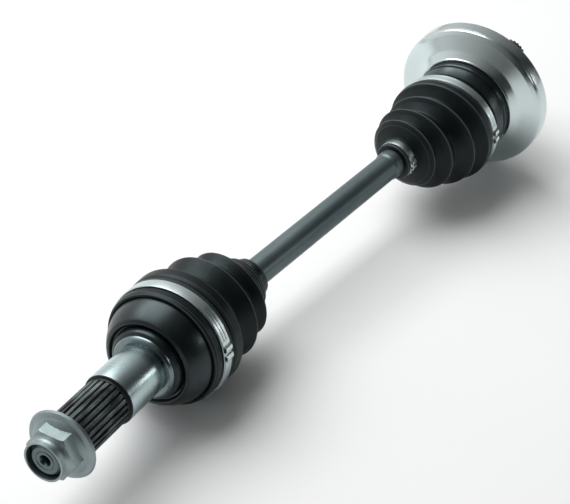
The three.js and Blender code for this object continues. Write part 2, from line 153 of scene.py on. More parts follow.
def ring_point(x, r, angle):
    """A point at that radius round the X axis."""
    return Vector((x, r * math.cos(angle), r * math.sin(angle)))


def arc(x, r, radius, start, end, steps):
    """Points of an arc in a profile, angles in degrees from +x towards +r."""
    turns = [math.radians(start + (end - start) * i / steps) for i in range(steps + 1)]
    return [(x + radius * math.cos(a), r + radius * math.sin(a)) for a in turns]


def rounded(points, radius=0.3, steps=3, closed=False):
    """The outline with its corners rounded. A point's third number is a radius of its own."""
    straight = math.radians(88)  # half of an angle too flat to round
    most = 0.45  # of a side that a corner may use up
    made = []
    count = len(points)
    for i, point in enumerate(points):
        here = Vector(point[:2])
        own = point[2] if len(point) > 2 else radius
        if not closed and i in (0, count - 1):
            made.append(tuple(here))
            continue
        back = Vector(points[i - 1][:2]) - here
        ahead = Vector(points[(i + 1) % count][:2]) - here
        half = back.angle(ahead) / 2
        if own == 0 or half > straight:
            made.append(tuple(here))
            continue
        reach = min(own / math.tan(half), most * back.length, most * ahead.length)
        start = here + back.normalized() * reach
        end = here + ahead.normalized() * reach
        for k in range(steps + 1):
            t = k / steps
            made.append(tuple(start * (1 - t) ** 2 + here * 2 * t * (1 - t) + end * t * t))
    return made


def even_angles(facets):
    return [2 * math.pi * (i + 0.5) / facets for i in range(facets)]


def revolved(profile, angles, shape=None):
    """One ring of points for each profile point. shape(x, r, angle) may change the radius."""
    rings = []
    for x, r in profile:
        ring = []
        for a in angles:
            out = shape(x, r, a) if shape else r
            ring.append(ring_point(x, out, a))
        rings.append(ring)
    return rings


def piece(name, parts, material, place, smooth_angle=35, wear_and_highlight=None):
    """A mesh of lofted parts. Each part is (rings, loop): a loop runs back into its start.

    The other parts get a cap at each end.
    """
    verts = []
    faces = []
    marks = []
    for rings, loop in parts:
        base = len(verts)
        count = len(rings[0])
        for i, ring in enumerate(rings):
            verts.extend(p * MM for p in ring)
            marks.extend([wear_and_highlight[i] if wear_and_highlight else 0.0] * count)
        for i in range(len(rings) if loop else len(rings) - 1):
            here = base + i * count
            there = base + ((i + 1) % len(rings)) * count
            for j in range(count):
                k = (j + 1) % count
                faces.append((here + j, here + k, there + k, there + j))
        if not loop:
            faces.append(tuple(base + j for j in reversed(range(count))))
            faces.append(tuple(base + (len(rings) - 1) * count + j for j in range(count)))
    mesh = bpy.data.meshes.new(name)
    mesh.from_pydata([tuple(v) for v in verts], [], faces)
    # the boots' marks paint a highlight along their crests
    if wear_and_highlight:
        mark = mesh.attributes.new("wear_and_highlight", "FLOAT", "POINT")
        mark.data.foreach_set("value", marks)
    tidy(mesh, smooth_angle)
    made = bpy.data.objects.new(name, mesh)
    bpy.context.scene.collection.objects.link(made)
    made.data.materials.append(material)
    made.matrix_world = place
    return made


def tidy(mesh, smooth_angle):
    """Merges the points of rings that shrink to the axis, turns the faces outward and smooths them."""
    work = bmesh.new()
    work.from_mesh(mesh)
    bmesh.ops.remove_doubles(work, verts=work.verts, dist=2e-6)
    bmesh.ops.dissolve_degenerate(work, edges=work.edges, dist=1e-7)
    bmesh.ops.recalc_face_normals(work, faces=work.faces)
    work.to_mesh(mesh)
    work.free()
    mesh.polygons.foreach_set("use_smooth", [True] * len(mesh.polygons))
    mesh.set_sharp_from_angle(angle=math.radians(smooth_angle))


def turned(name, profile, material, place, facets=FINE, shape=None):
    """A turned piece. Its profile runs back into its start, or starts and ends on the axis."""
    return piece(name, [(revolved(profile, even_angles(facets), shape), True)], material, place)


# ---------- materials ----------
COOL = (0.74, 0.96, 1, 1)  # tint of the dark pieces' shine


class Nodes:
    """A node material under way."""

    def __init__(self, name, colour, metallic, roughness, **fixed):
        self.material = bpy.data.materials.new(name)
        self.material.use_nodes = True
        self.tree = self.material.node_tree
        self.shader = self.tree.nodes["Principled BSDF"]
        self.set("Base Color", (*colour, 1))
        self.set("Metallic", metallic)
        self.set("Roughness", roughness)
        for key, value in fixed.items():
            self.set(key.replace("_", " "), value)
        self.place = self.node("ShaderNodeTexCoord").outputs["Object"]

    def set(self, socket, value):
        self.shader.inputs[socket].default_value = value

    def node(self, kind, **settings):
        made = self.tree.nodes.new(kind)
        for key, value in settings.items():
            setattr(made, key, value)
        return made

    def link(self, source, target):
        self.tree.links.new(source, target)

    def noise(self, scale, detail=4, roughness=0.55, stretch=(1, 1, 1)):
        """Noise over the object's own axes, with scale features per metre, times stretch on each."""
        mapping = self.node("ShaderNodeMapping")
        mapping.inputs["Scale"].default_value = [scale * s for s in stretch]
        self.link(self.place, mapping.inputs["Vector"])
        texture = self.node("ShaderNodeTexNoise")
        texture.inputs["Scale"].default_value = 1
        texture.inputs["Detail"].default_value = detail
        texture.inputs["Roughness"].default_value = roughness
        self.link(mapping.outputs["Vector"], texture.inputs["Vector"])
        return texture.outputs["Fac"]

    def ranged(self, value, low, high, start=0.3, end=0.7):
        """The value's stretch from start to end, spread over low to high."""
        spread = self.node("ShaderNodeMapRange")
        for key, number in (("From Min", start), ("From Max", end), ("To Min", low), ("To Max", high)):
            spread.inputs[key].default_value = number
        self.link(value, spread.inputs["Value"])
        return spread.outputs["Result"]

    def colours(self, factor, first, second):
        """Mixes from the first colour to the second. Either may be another node's output."""
        mix = self.node("ShaderNodeMix", data_type="RGBA")
        self.link(factor, mix.inputs["Factor"])
        for socket, colour in ((mix.inputs[6], first), (mix.inputs[7], second)):
            if isinstance(colour, tuple):
                socket.default_value = (*colour, 1)
            else:
                self.link(colour, socket)
        return mix.outputs[2]

    def bump(self, height, depth, before=None):
        """A bump of that depth in metres, on top of an earlier one."""
        made = self.node("ShaderNodeBump")
        made.inputs["Strength"].default_value = 1
        made.inputs["Distance"].default_value = depth
        self.link(height, made.inputs["Height"])
        if before:
            self.link(before, made.inputs["Normal"])
        return made.outputs["Normal"]

    def to(self, socket, source):
        self.link(source, self.shader.inputs[socket])


def rubber():
    """Moulded rubber: matt skin, dusty bloom in patches, and a painted highlight along the sharp crests.
    """
    base = (0.005, 0.006, 0.006)
    m = Nodes("boot_rubber", base, 0, 0.5, Specular_IOR_Level=0.22, Specular_Tint=COOL)
    bloom = m.ranged(m.noise(45, 5), 0, 1, 0.4, 0.75)
    skin = m.colours(bloom, (0.0032, 0.0042, 0.0044), (0.0075, 0.009, 0.0094))
    # painted highlight: the base colour is paler along the sharp crests of the bellows
    rub_and_highlight = m.node("ShaderNodeAttribute", attribute_name="wear_and_highlight").outputs["Fac"]
    m.to("Base Color", m.colours(rub_and_highlight, skin, (0.06, 0.07, 0.072)))
    m.to("Roughness", m.ranged(m.noise(160, 4), 0.34, 0.46))
    m.to("Normal", m.bump(m.noise(2600, 3), 0.00003, m.bump(m.noise(90, 3), 0.0002)))
    return m.material


def paint():
    """Satin black paint over a forging: faint orange peel, dust and small rubbed spots."""
    base = (0.005, 0.006, 0.006)
    m = Nodes("satin_black_paint", base, 0, 0.34, Specular_IOR_Level=0.5, Specular_Tint=COOL)
    dust = m.ranged(m.noise(70, 6, 0.65), 0, 1, 0.45, 0.8)
    skin = m.colours(dust, (0.0036, 0.0045, 0.0048), (0.0085, 0.010, 0.0104))
    spots = m.ranged(m.noise(420, 2), 0, 1, 0.75, 0.79)
    m.to("Base Color", m.colours(spots, skin, (0.03, 0.033, 0.034)))
    m.to("Roughness", m.ranged(m.noise(110, 5), 0.27, 0.38))
    m.to("Normal", m.bump(m.noise(900, 2), 0.00004))
    return m.material


def bar_steel():
    """Oiled dark steel: drawn lengthwise, with soft mottling and a few dark specks."""
    m = Nodes("dark_bar_steel", (0.09, 0.11, 0.115), 0.75, 0.34)
    mottle = m.noise(38, 6, 0.6, (0.35, 1, 1))
    tone = m.colours(m.ranged(mottle, 0, 1), (0.072, 0.097, 0.102), (0.115, 0.15, 0.156))
    specks = m.ranged(m.noise(700, 2), 0, 1, 0.70, 0.76)
    m.to("Base Color", m.colours(specks, tone, (0.03, 0.034, 0.034)))
    drawn = m.noise(1500, 3, 0.6, (0.02, 1, 1))
    m.to("Roughness", m.ranged(drawn, 0.33, 0.46))
    m.to("Normal", m.bump(drawn, 0.000012, m.bump(m.noise(200, 4), 0.00005)))
    return m.material


def phosphate():
    """Dark phosphated steel whose edges have rubbed bright."""
    m = Nodes("phosphated_steel", (0.02, 0.024, 0.025), 0.6, 0.5)
    grain = m.ranged(m.noise(900, 5, 0.7, (0.12, 1, 1)), 0, 1)
    skin = m.colours(grain, (0.008, 0.0095, 0.010), (0.034, 0.040, 0.041))
    rub_and_highlight = m.node("ShaderNodeAttribute", attribute_name="wear_and_highlight").outputs["Fac"]
    patchy = m.node("ShaderNodeMath", operation="MULTIPLY")
    m.link(rub_and_highlight, patchy.inputs[0])
    patches = m.noise(170, 4, 0.6, (0.3, 1, 1))
    m.link(m.ranged(patches, 0, 0.7, 0.42, 0.66), patchy.inputs[1])
    m.to("Base Color", m.colours(patchy.outputs[0], skin, (0.36, 0.44, 0.45)))
    m.to("Roughness", m.ranged(grain, 0.36, 0.56, 0, 1))
    m.to("Normal", m.bump(grain, 0.00002))
    return m.material


def ground_steel(name, colour, rough, cut):
    """Ground or turned steel, with fine marks round its own X axis."""
    m = Nodes(name, colour, 1, sum(rough) / 2)
    haze = m.ranged(m.noise(60, 5), 0, 1)
    darker = tuple(c * 0.86 for c in colour)
    m.to("Base Color", m.colours(haze, darker, colour))
    marks = m.noise(3200, 3, 0.7, (1, 0.012, 0.012))
    m.to("Roughness", m.ranged(marks, *rough))
    m.to("Normal", m.bump(marks, cut))
    return m.material


def zinc(name, colour, rough, grain, grain_depth, cloudy=0.95, speck_start=0.78):
    """Zinc plate: cloudy tone, fine grain, and a scatter of dull specks."""
    m = Nodes(name, colour, 1, sum(rough) / 2)
    cloud = m.ranged(m.noise(55, 6, 0.6), 0, 1)
    plate = m.colours(cloud, tuple(c * cloudy for c in colour), colour)
    specks = m.ranged(m.noise(520, 2), 0, 1, speck_start, speck_start + 0.03)
    m.to("Base Color", m.colours(specks, plate, tuple(c * 0.4 for c in colour)))
    m.to("Roughness", m.ranged(m.noise(grain * 0.6, 4), *rough))
    m.to("Normal", m.bump(m.noise(grain, 4, 0.6), grain_depth))
    return m.material


RUBBER = rubber()
PAINT = paint()
BAR_STEEL = bar_steel()
PHOSPHATE = phosphate()
GROUND = ground_steel("ground_steel", (0.46, 0.57, 0.58), (0.23, 0.3), 0.000001)
TURNED = ground_steel("turned_steel", (0.41, 0.49, 0.50), (0.24, 0.36), 0.000006)
SHOULDER = ground_steel("shoulder_steel", (0.19, 0.24, 0.25), (0.2, 0.3), 0.000001)
STUB_STEEL = ground_steel("stub_end_steel", (0.13, 0.165, 0.172), (0.3, 0.42), 0.000008)
NUT_ZINC = zinc("nut_zinc", (0.34, 0.41, 0.415), (0.4, 0.52), 1500, 0.00003, 0.72, 0.72)
BRIGHT_ZINC = zinc("shield_zinc", (0.60, 0.68, 0.68), (0.17, 0.21), 400, 0.0000015, 0.97)
CLAMP_STEEL = zinc("clamp_steel", (0.56, 0.64, 0.645), (0.3, 0.36), 300, 0.0000008, 0.97, 0.8)


# ---------- the wheel end ----------
CREST = 0.21  # half the width of a tooth's crest, as a share of its pitch
FLANK = 0.15  # the width of each flank


def tooth_angles(count):
    """Angles at the corners of each tooth, so that its flanks stay sharp."""
    phases = (-0.5, -0.36, -0.235, -0.21, -0.185, 0, 0.185, 0.21, 0.235, 0.36)
    return [(i + p) * 2 * math.pi / count for i in range(count) for p in phases]


def tooth_phase(angle, count):
    """How far the angle is from the middle of its tooth, from 0 to 0.5 of the pitch."""
    return abs((angle * count / (2 * math.pi) + 0.5) % 1 - 0.5)


def tooth_height(angle, count):
    """From 0 in the root to 1 on the crest."""
    return 1 - min(1.0, max(0.0, (tooth_phase(angle, count) - CREST) / FLANK))


def splined(name, start, end, outer, depth, count, material, place, core, run_out=2.0):
    """A toothed shaft whose teeth start with a chamfer and run out into the shaft."""
    root = outer - depth
    angles = tooth_angles(count)
    stations = [start, start + 0.4, start + depth + 0.4]
    stations += [start + 3 + (end - run_out - start - 3) * i / 12 for i in range(13)]
    stations += [end - run_out * (1 - t) for t in (0.35, 0.7, 1)]
    rings = [[ring_point(start, core, a) for a in angles]]
    for x in stations:
        rise = smooth((x - start + 0.2) / (depth + 0.6)) * smooth((end + 0.3 - x) / run_out)
        radii = [root - 0.05 + (depth + 0.05) * tooth_height(a, count) * rise for a in angles]
        rings.append([ring_point(x, r, a) for r, a in zip(radii, angles)])
    rings.append([ring_point(end, core, a) for a in angles])
    made = piece(name, [(rings, False)], material, place, 28)
    mark_edges(made.data, outer - 0.35 * depth, count)
    return made


def mark_edges(mesh, lowest, count):
    """Marks the long edges of the teeth's crests as worn."""
    values = []
    for v in mesh.vertices:
        phase = tooth_phase(math.atan2(v.co.z, v.co.y), count)
        high = math.hypot(v.co.y, v.co.z) / MM > lowest
        values.append(1.0 if high and abs(phase - CREST) < 0.03 else 0.0)
    mark = mesh.attributes.new("wear_and_highlight", "FLOAT", "POINT")
    mark.data.foreach_set("value", values)


def threaded_end():
    """The M20 end of the stub: thread, flat face with a turned ring, and the lathe's centre hole."""
    pitch, depth = 1.5, 0.8
    hole = 4

    def helix(x, r, angle):
        if r < THREAD_R - 0.01:
            return r
        wave = abs(2 * ((x / pitch - angle / (2 * math.pi)) % 1) - 1)
        lead = smooth((x - STUB_END - 0.6) / 1.5)
        return THREAD_R - depth * wave * lead

    face = [(STUB_END + 12, 0), (STUB_END + 11, 2.6), (STUB_END + 2.2, 2.9)]
    face += [(STUB_END + 0.2, hole - 0.2), (STUB_END, hole)]
    face += [(STUB_END, 5.6), (STUB_END + 0.35, 5.9), (STUB_END + 0.35, 6.3)]
    face += [(STUB_END, 6.6), (STUB_END, THREAD_R - 1.1), (STUB_END + 0.9, THREAD_R - 0.02)]
    steps = 70
    run = [(STUB_END + 1.1 + 17 * i / steps, THREAD_R) for i in range(steps + 1)]
    profile = face + run + [(SPLINE_START + 1, THREAD_R - 1), (SPLINE_START + 1, 0)]
    return turned("threaded_end", profile, STUB_STEEL, STUB, SMALL, helix)


def relief_ring():
    """The dark relief turned between the splines and the bearing seat."""
    radius = SEAT_R - 1.8
    profile = [(SPLINE_END - 0.3, 0)] + rounded(
        [
            (SPLINE_END - 0.3, radius - 2),
            (SPLINE_END - 0.3, radius),
            (SEAT_START - 0.4, radius),
            (SEAT_START - 0.1, SEAT_R - 0.2, 0.4),
            (SEAT_START + 0.9, SEAT_R - 0.1),
        ],
        0.2,
    )
    profile.append((SEAT_START + 0.9, 0))
    return turned("relief_ring", profile, PHOSPHATE, STUB)


def bearing_seat():
    """The ground seat of the wheel bearing."""
    profile = [(SEAT_START + 0.5, 0)] + rounded(
        [
            (SEAT_START + 0.5, SEAT_R - 0.3),
            (SEAT_START + 0.7, SEAT_R, 0.2),
            (SEAT_END - 0.6, SEAT_R),
            (SEAT_END - 0.5, SEAT_R - 0.35),
            (SEAT_END + 1, SEAT_R - 0.35),
        ],
        0.1,
    )
    profile.append((SEAT_END + 1, 0))
    return turned("bearing_seat", profile, GROUND, STUB)


def shoulder_ring():
    """The turned shoulder that the wheel bearing stops against."""
    back = NECK_AT - 4.6
    profile = rounded(
        [
            (back, SEAT_R - 2),
            (SEAT_END, SEAT_R - 2),
            (SEAT_END, 20.6, 0.8),
            (SEAT_END + 1.5, 21.8, 0.8),
            (back, 22.4),
        ],
        0.1,
        closed=True,
    )
    return turned("bearing_shoulder", profile, SHOULDER, STUB)


def bell():
    """The painted bell of the outer joint and the ring at its neck, hollow where the balls run."""
    outside = [
        (NECK_AT - 5.4, 19),
        (NECK_AT - 5.8, 22.6, 0.8),
        (NECK_AT - 4.6, 24.2, 1.4),
        (NECK_AT - 1, NECK_R, 0.8),
        (NECK_AT - 0.2, NECK_R - 0.4, 0.4),
        (NECK_AT, NECK_R - 1.2, 0.4),
        (NECK_AT - 0.4, NECK_R + 1.2, 0.6),
        (NECK_AT - 2.6, NECK_R + 2.6, 0.9),
    ]
    outside += arc(1.2, 5, 33, 131, 97, 16)[1:]
    outside += [(0, BELL_R, 2.5), (BELL_MOUTH, BELL_R, 0.8), (BELL_MOUTH, 31, 0.8)]
    outside.append((2, HOLLOW_R, 1))
    outside += arc(0, 0, HOLLOW_R, 92, 132, 10)
    return turned("outer_bell", rounded(outside, 0.25, closed=True), PAINT, STUB)


def nut_radius(x, angle):
    """The outside of the nut: the largest of its hexagon, collar, cone and flange."""
    near = (angle - NUT_TURN + math.pi / 6) % (math.pi / 3) - math.pi / 6
    hexagon = NUT_HALF_FLATS / math.cos(math.pi / 6 - abs(near))
    chamfer = 16.1 + (x - HEX_END) * 1.3
    narrowing = 0.3 * smooth((x - NUT_END - 0.6) / 2)
    widening = 1.7 * smooth((x - HEX_END + 2.8) / 2.8)
    collar = 13.2 - narrowing + widening
    cone = 12 + 7.6 * smooth((x - HEX_END - 4.5) / (FLANGE_FRONT - HEX_END - 4))
    flange = 0
    if x > FLANGE_FRONT - 1.1:
        flange = NUT_FLANGE_R - max(0, (FLANGE_FRONT + 0.9 - x)) * 3.6
    hexed = min(hexagon, chamfer) if x >= HEX_END else 0
    return max(hexed, collar, cone, flange)


def axle_nut():
    """The flange nut: chamfered hexagon, cone and flange, and the thin collar staked to the thread."""
    facets = 180
    angles = [NUT_TURN + 2 * math.pi * i / facets for i in range(facets)]
    lip_r = 11.9
    stations = [NUT_END + 0.15, NUT_END + 0.45, NUT_END + 1]
    stations += [NUT_END + 1.4 + 0.5 * i for i in range(10)]
    stations += [HEX_END, HEX_END + 0.04]
    stations += [HEX_END + 0.3 * i for i in range(1, 33)]
    stations += [FLANGE_FRONT - 0.35 + 0.25 * i for i in range(5)]
    stations.append(FLANGE_BACK - 0.4)
    rings = [[ring_point(NUT_END, 13.0, a) for a in angles]]
    for x in stations:
        rings.append([ring_point(x, nut_radius(x, a), a) for a in angles])
    rings.append([ring_point(FLANGE_BACK, NUT_FLANGE_R - 0.3, a) for a in angles])
    inside = [(FLANGE_BACK, NUT_BORE_R + 0.6), (FLANGE_BACK - 0.8, NUT_BORE_R)]
    inside += [(HEX_END + 0.6, NUT_BORE_R), (HEX_END - 0.8, lip_r)]
    inside += [(NUT_END + 0.3, lip_r), (NUT_END, lip_r + 0.3)]
    rings += revolved(inside, angles)
    return piece("axle_nut_zinc", [(rings, True)], NUT_ZINC, STUB, 26)


# ---------- the bar ----------
def bar():
    """The bar between the joints, with the raised land beside the inner boot."""
    profile = [(7, 0)] + rounded(
        [
            (7, BAR_CORE_R),
            (9.5, BAR_CORE_R),
            (11, BAR_NECK_R, 2),
            (24, BAR_NECK_R, 6),
            (30, BAR_R, 8),
            (BAR_LAND_START, BAR_R, 2),
            (BAR_LAND_START + 1.6, BAR_LAND_R, 2),
            (BAR_LAND_START + 8.4, BAR_LAND_R, 2),
            (BAR_LAND_START + 10, BAR_R, 2),
            (SPAN - 80, BAR_R, 8),
            (SPAN - 74, BAR_NECK_R, 6),
            (SPAN - 11, BAR_NECK_R, 2),
            (SPAN - 9.5, BAR_CORE_R),
            (SPAN - 7, BAR_CORE_R),
        ],
        0.4,
        6,
    )
    profile.append((SPAN - 7, 0))
    return turned("axle_bar_steel", profile, BAR_STEEL, BAR, SMALL)


def bar_ends():
    """The toothed ends of the bar, inside the joints, with the grooves of their wire rings."""
    made = []
    angles = tooth_angles(BAR_TEETH)
    root, groove_root, depth = 8.1, 7.0, 0.9
    outer_end = ("outer", -12.6, 9.8, -9.9)
    inner_end = ("inner", SPAN - 9.8, SPAN + 12.6, SPAN + 9.9)
    for name, start, end, groove in (outer_end, inner_end):
        rings = []
        stations = [start, start + 0.7, end - 0.7, end]
        stations += [groove + step for step in (-0.9, -0.85, 0.85, 0.9)]
        for x in sorted(stations):
            if abs(x - groove) < 0.87:
                radii = [groove_root] * len(angles)
            else:
                sunk = depth if x in (start, end) else 0
                radii = [root - sunk * 0.6 + (depth - sunk) * tooth_height(a, BAR_TEETH) for a in angles]
            rings.append([ring_point(x, r, a) for r, a in zip(radii, angles)])
        made.append(piece(f"bar_teeth_{name}", [(rings, False)], PHOSPHATE, BAR, 28))
    return made


# ---------- the differential end ----------
def cup():
    """The painted housing of the inner joint, hollow where the balls slide."""
    seat = CUP_R + 0.2
    outline = [
        (CUP_MOUTH, HOLLOW_R + 2, 0.8),
        (CUP_MOUTH, seat, 0.8),
        (CUP_MOUTH + 12.4, seat, 0.5),
        (CUP_MOUTH + 13.2, CUP_R - 1.4, 0.6),
        (CUP_MOUTH + 15, CUP_R - 1.4, 0.6),
        (CUP_MOUTH + 15.8, CUP_R, 0.5),
        (-9.4, CUP_R, 0.5),
        (-8.7, CUP_R - 1.2, 0.5),
        (-7.3, CUP_R - 1.2, 0.5),
        (-6.6, CUP_R, 0.5),
        (-4.6, CUP_R, 0.3),
        (-4.2, CUP_R - 0.7, 0.3),
        (-3.4, CUP_R - 0.7, 0.3),
        (-3, CUP_R, 0.3),
        (6, CUP_R, 0.5),
        (6, CUP_R - 3, 1.5),
        (CUP_BACK - 1, CUP_R - 3.5, 9),
        (CUP_BACK, SEAL_SEAT_R + 2, 3),
        (CUP_BACK + 2, SEAL_SEAT_R - 1, 1),
        (CUP_BACK + 2, 4),
        (33, 4),
        (33, 18, 8),
        (24, HOLLOW_R, 6),
    ]
    return turned("inner_cup", rounded(outline, 0.3, 5, closed=True), PAINT, CUP)


def differential_stub():
    """The ground seat of the differential's seal, and the splined stub with its wire groove."""
    profile = [(CUP_BACK - 3, 0)] + rounded(
        [
            (CUP_BACK - 3, 14),
            (CUP_BACK + 1.2, SEAL_SEAT_R + 2.2, 1),
            (CUP_BACK + 3.4, SEAL_SEAT_R, 2),
            (SEAL_SEAT_END - 0.6, SEAL_SEAT_R),
            (SEAL_SEAT_END, SEAL_SEAT_R - 0.6),
            (SEAL_SEAT_END + 0.8, 11.6, 0.6),
            (SEAL_SEAT_END + 6, 11.6),
        ],
        0.3,
    )
    profile.append((SEAL_SEAT_END + 6, 0))
    seat = turned("seal_seat", profile, GROUND, CUP)
    teeth = (DIFF_SPLINE_R, 1.2, DIFF_TEETH, PHOSPHATE, CUP, DIFF_CORE_R)
    long_end = splined("differential_teeth", SEAL_SEAT_END + 3.2, DIFF_GROOVE - 1, *teeth)
    short_end = splined("differential_tip", DIFF_GROOVE + 1, DIFF_END - 1, *teeth, 0.8)
    start = DIFF_GROOVE - 2
    wide = DIFF_CORE_R + 0.1
    tip = [(start, 0), (start, wide)]
    tip += rounded([(start, wide), (DIFF_END - 1, wide), (DIFF_END, wide - 1), (DIFF_END, 3)], 0.3)[1:]
    tip += [(DIFF_END, 3), (DIFF_END - 3.5, 1.5), (DIFF_END - 6, 1.2), (DIFF_END - 6.8, 0)]
    core = turned("differential_end", tip, STUB_STEEL, CUP, SMALL)
    return seat, long_end, short_end, core


def shield():
    """The spun dust shield: hub collar, fillet, cone, folded edge and skirt."""
    sheet = 1.5
    hub = CUP_R + 0.25
    outline = [
        (-1.2, hub, 0.4),
        (-1.2, hub + sheet, 0.5),
        (-0.2, hub + sheet + 0.8, 3),
        (3.4, hub + sheet + 5.4, 7),
        (FOLD - 1.6, SHIELD_R - 3.4, 1.2),
        (FOLD + 0.4, SHIELD_R - 0.5, 1.6),
        (FOLD + 3, SHIELD_R, 1.5),
        (RIM, SHIELD_R, 0.5),
        (RIM, SHIELD_R - sheet, 0.5),
        (FOLD + 2.4, SHIELD_R - sheet, 1.4),
        (FOLD + 0.4, SHIELD_R - sheet - 2.8, 1.2),
        (5.2, hub + sheet + 5.2, 5),
        (3.2, hub + 1.6, 2.4),
        (3.4, hub, 0.4),
    ]
    rings = revolved(rounded(outline, 0.5, 6, closed=True), even_angles(192))
    return piece("dust_shield_zinc", [(rings, True)], BRIGHT_ZINC, CUP)


def open_ring(name, at, wide, inner, outer, gap_deg, material, place):
    """A wire ring of round-cornered section with a gap at the top."""
    facets = 72
    section = rounded(
        [(at - wide / 2, inner), (at - wide / 2, outer), (at + wide / 2, outer), (at + wide / 2, inner)],
        wide * 0.3,
        closed=True,
    )
    start = math.radians(90 + gap_deg / 2)
    sweep = math.radians(360 - gap_deg)
    rings = []
    for i in range(facets + 1):
        a = start + sweep * i / facets
        rings.append([ring_point(x, r, a) for x, r in section])
    return piece(name, [(rings, False)], material, place)


# ---------- boots ----------
# Each point is a place along the housing's axis, a radius, and how round the corner is.
OUTER_BOOT = [
    (-4.4, 38.9, 0.5), (-4.2, 39.9, 0.8), (-2.2, 40.7, 1.2), (2.4, 40.9, 0.4), (2.7, 40.6, 0.3),
    (11.9, 40.6, 0.3), (12.3, 41.9, 0.5), (14.0, 41.9, 0.6), (15.2, 40.2, 0.7), (17.0, 41.6, 1),
    (18.4, 42.1, 1.5), (25.2, 42.3, 1.1), (27.6, 39.6, 3), (34.5, 33.4, 3), (41.5, 35.6, 6),
    (47.9, 38.0, 1.0), (50.6, 34.2, 2.5), (55.6, 29.0, 2.5), (60.5, 30.6, 4), (63.8, 31.8, 0.9),
    (66.0, 27.2, 2), (69.4, 22.4, 1.6), (71.6, 22.4, 1), (72.8, 21.0, 0.8), (74.4, 21.0, 0.8),
    (75.6, 19.4, 0.8), (77.9, 18.8, 0.9), (79.2, 15.0, 1.0), (80.2, 13.2, 0.5), (85.0, 13.2, 0.3),
    (85.4, 13.9, 0.4), (86.2, 13.7, 0.4), (86.4, 12.3, 0.4),
]
INNER_BOOT = [
    (-24.4, 38.4, 0.4), (-24.5, 39.8, 0.5), (-25.4, 40.2, 0.3), (-25.8, 39.4, 0.3), (-32.8, 39.4, 0.3),
    (-33.2, 40.6, 0.6), (-36, 41.5, 1.6), (-40.6, 41.4, 1.4), (-42.4, 38.8, 2), (-47.2, 33.6, 2.4),
    (-49.6, 35.4, 2.5), (-52, 37.8, 0.9), (-54.4, 34.4, 2), (-60.6, 28.6, 2.5), (-64.6, 30.4, 3),
    (-68.3, 33.2, 0.9), (-70.6, 29.4, 2), (-74.6, 24.6, 1.8), (-76.6, 25.4, 1.5), (-79.2, 27.4, 0.9),
    (-81.6, 23.6, 2), (-83.6, 15.4, 1.4), (-84.9, 14.2, 0.5), (-85.4, 13.1, 0.3), (-91.3, 13.1, 0.3),
    (-91.7, 14.3, 0.6), (-93.6, 14, 0.7), (-94, 12.4, 0.4),
]


def crests(profile):
    """How sharply the profile bulges outward at each point, from 0 to 1."""
    # these marks paint a highlight along the boots' crests
    marks = []
    sharp = 2.2  # millimetres of outline in which a sharp crest turns by one radian
    last = len(profile) - 1
    direction = 1 if profile[-1][0] > profile[0][0] else -1
    for i, point in enumerate(profile):
        before = Vector(point) - Vector(profile[max(0, i - 1)])
        after = Vector(profile[min(last, i + 1)]) - Vector(point)
        if before.length < 1e-6 or after.length < 1e-6:
            marks.append(0.0)
            continue
        turn = direction * before.angle_signed(after)
        marks.append(min(1.0, max(0.0, turn / (before.length + after.length) * sharp)))
    return marks


def radius_on(profile, x):
    """The profile's radius where it first crosses x."""
    for p, q in zip(profile, profile[1:]):
        if (x - p[0]) * (x - q[0]) <= 0 and p[0] != q[0]:
            return p[1] + (q[1] - p[1]) * (x - p[0]) / (q[0] - p[0])
    return profile[-1][1]


def cut_strip(profile, marks, start, end, first, last):
    """The profile's points from start to end, with their marks, and a point right at each cut."""
    sign = 1 if end > start else -1
    strip = []
    for point, mark in zip(profile, marks):
        if (point[0] - start) * sign > -1e-6 and (end - point[0]) * sign > -1e-6:
            strip.append((point, mark))
    if not first:
        strip.insert(0, ((start, radius_on(profile, start)), 0.0))
    if not last:
        strip.append(((end, radius_on(profile, end)), 0.0))
    return strip


def boot(name, outline, centre, axis, hinge, bend, sag, seat, splits, strips):
    """A bellows boot, whose rings turn from the housing's axis to the bar's.

    bend holds the two stations along the axis between which the rings turn, and seat the radius
    and the end of the part that grips the housing. The boot is cut at the splits. Each strip
    between them bends across one joint; its two bodies and the stretch that bends are not used.
    """
    angle = bar_axis.angle(axis)
    local = frame_at(Vector(), axis).to_3x3()
    angles = even_angles(FINE)
    seat_r, seat_end = seat

    def weight(along):
        return smooth((along - bend[0]) / (bend[1] - bend[0]))

    def turn(along):
        return Matrix.Rotation(-weight(along) * angle, 3, hinge)

    def ring(along, radius):
        down = UP * (4 * sag * weight(along) * (1 - weight(along)))
        turned_by = turn(along)
        return [turned_by @ (local @ ring_point(along, radius, a)) + centre - down for a in angles]

    outside = rounded(outline, 0.5, 5)
    marks = crests(outside)
    edges = [outside[0][0], *splits, outside[-1][0]]
    made = []
    for i, (bodies, (bend_start, bend_end)) in enumerate(strips):
        strip = cut_strip(outside, marks, edges[i], edges[i + 1], i == 0, i == len(strips) - 1)
        inside = []
        for (x, r), _ in reversed(strip[::2]):
            gripping = abs(x) < abs(seat_end)
            inside.append((x, seat_r if gripping else max(BAR_R + 0.25, r - BOOT_WALL)))
        rings = [ring(x, r) for (x, r), _ in strip] + [ring(x, r) for x, r in inside]
        # the crest marks, for the painted highlight along each crest
        wear_and_highlight = [m for _, m in strip] + [0.0] * len(inside)
        body = piece(f"{name}_{i + 1}", [(rings, True)], RUBBER, Matrix.Identity(4), 50, wear_and_highlight)
        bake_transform(body)
        made.append(body)
    return made


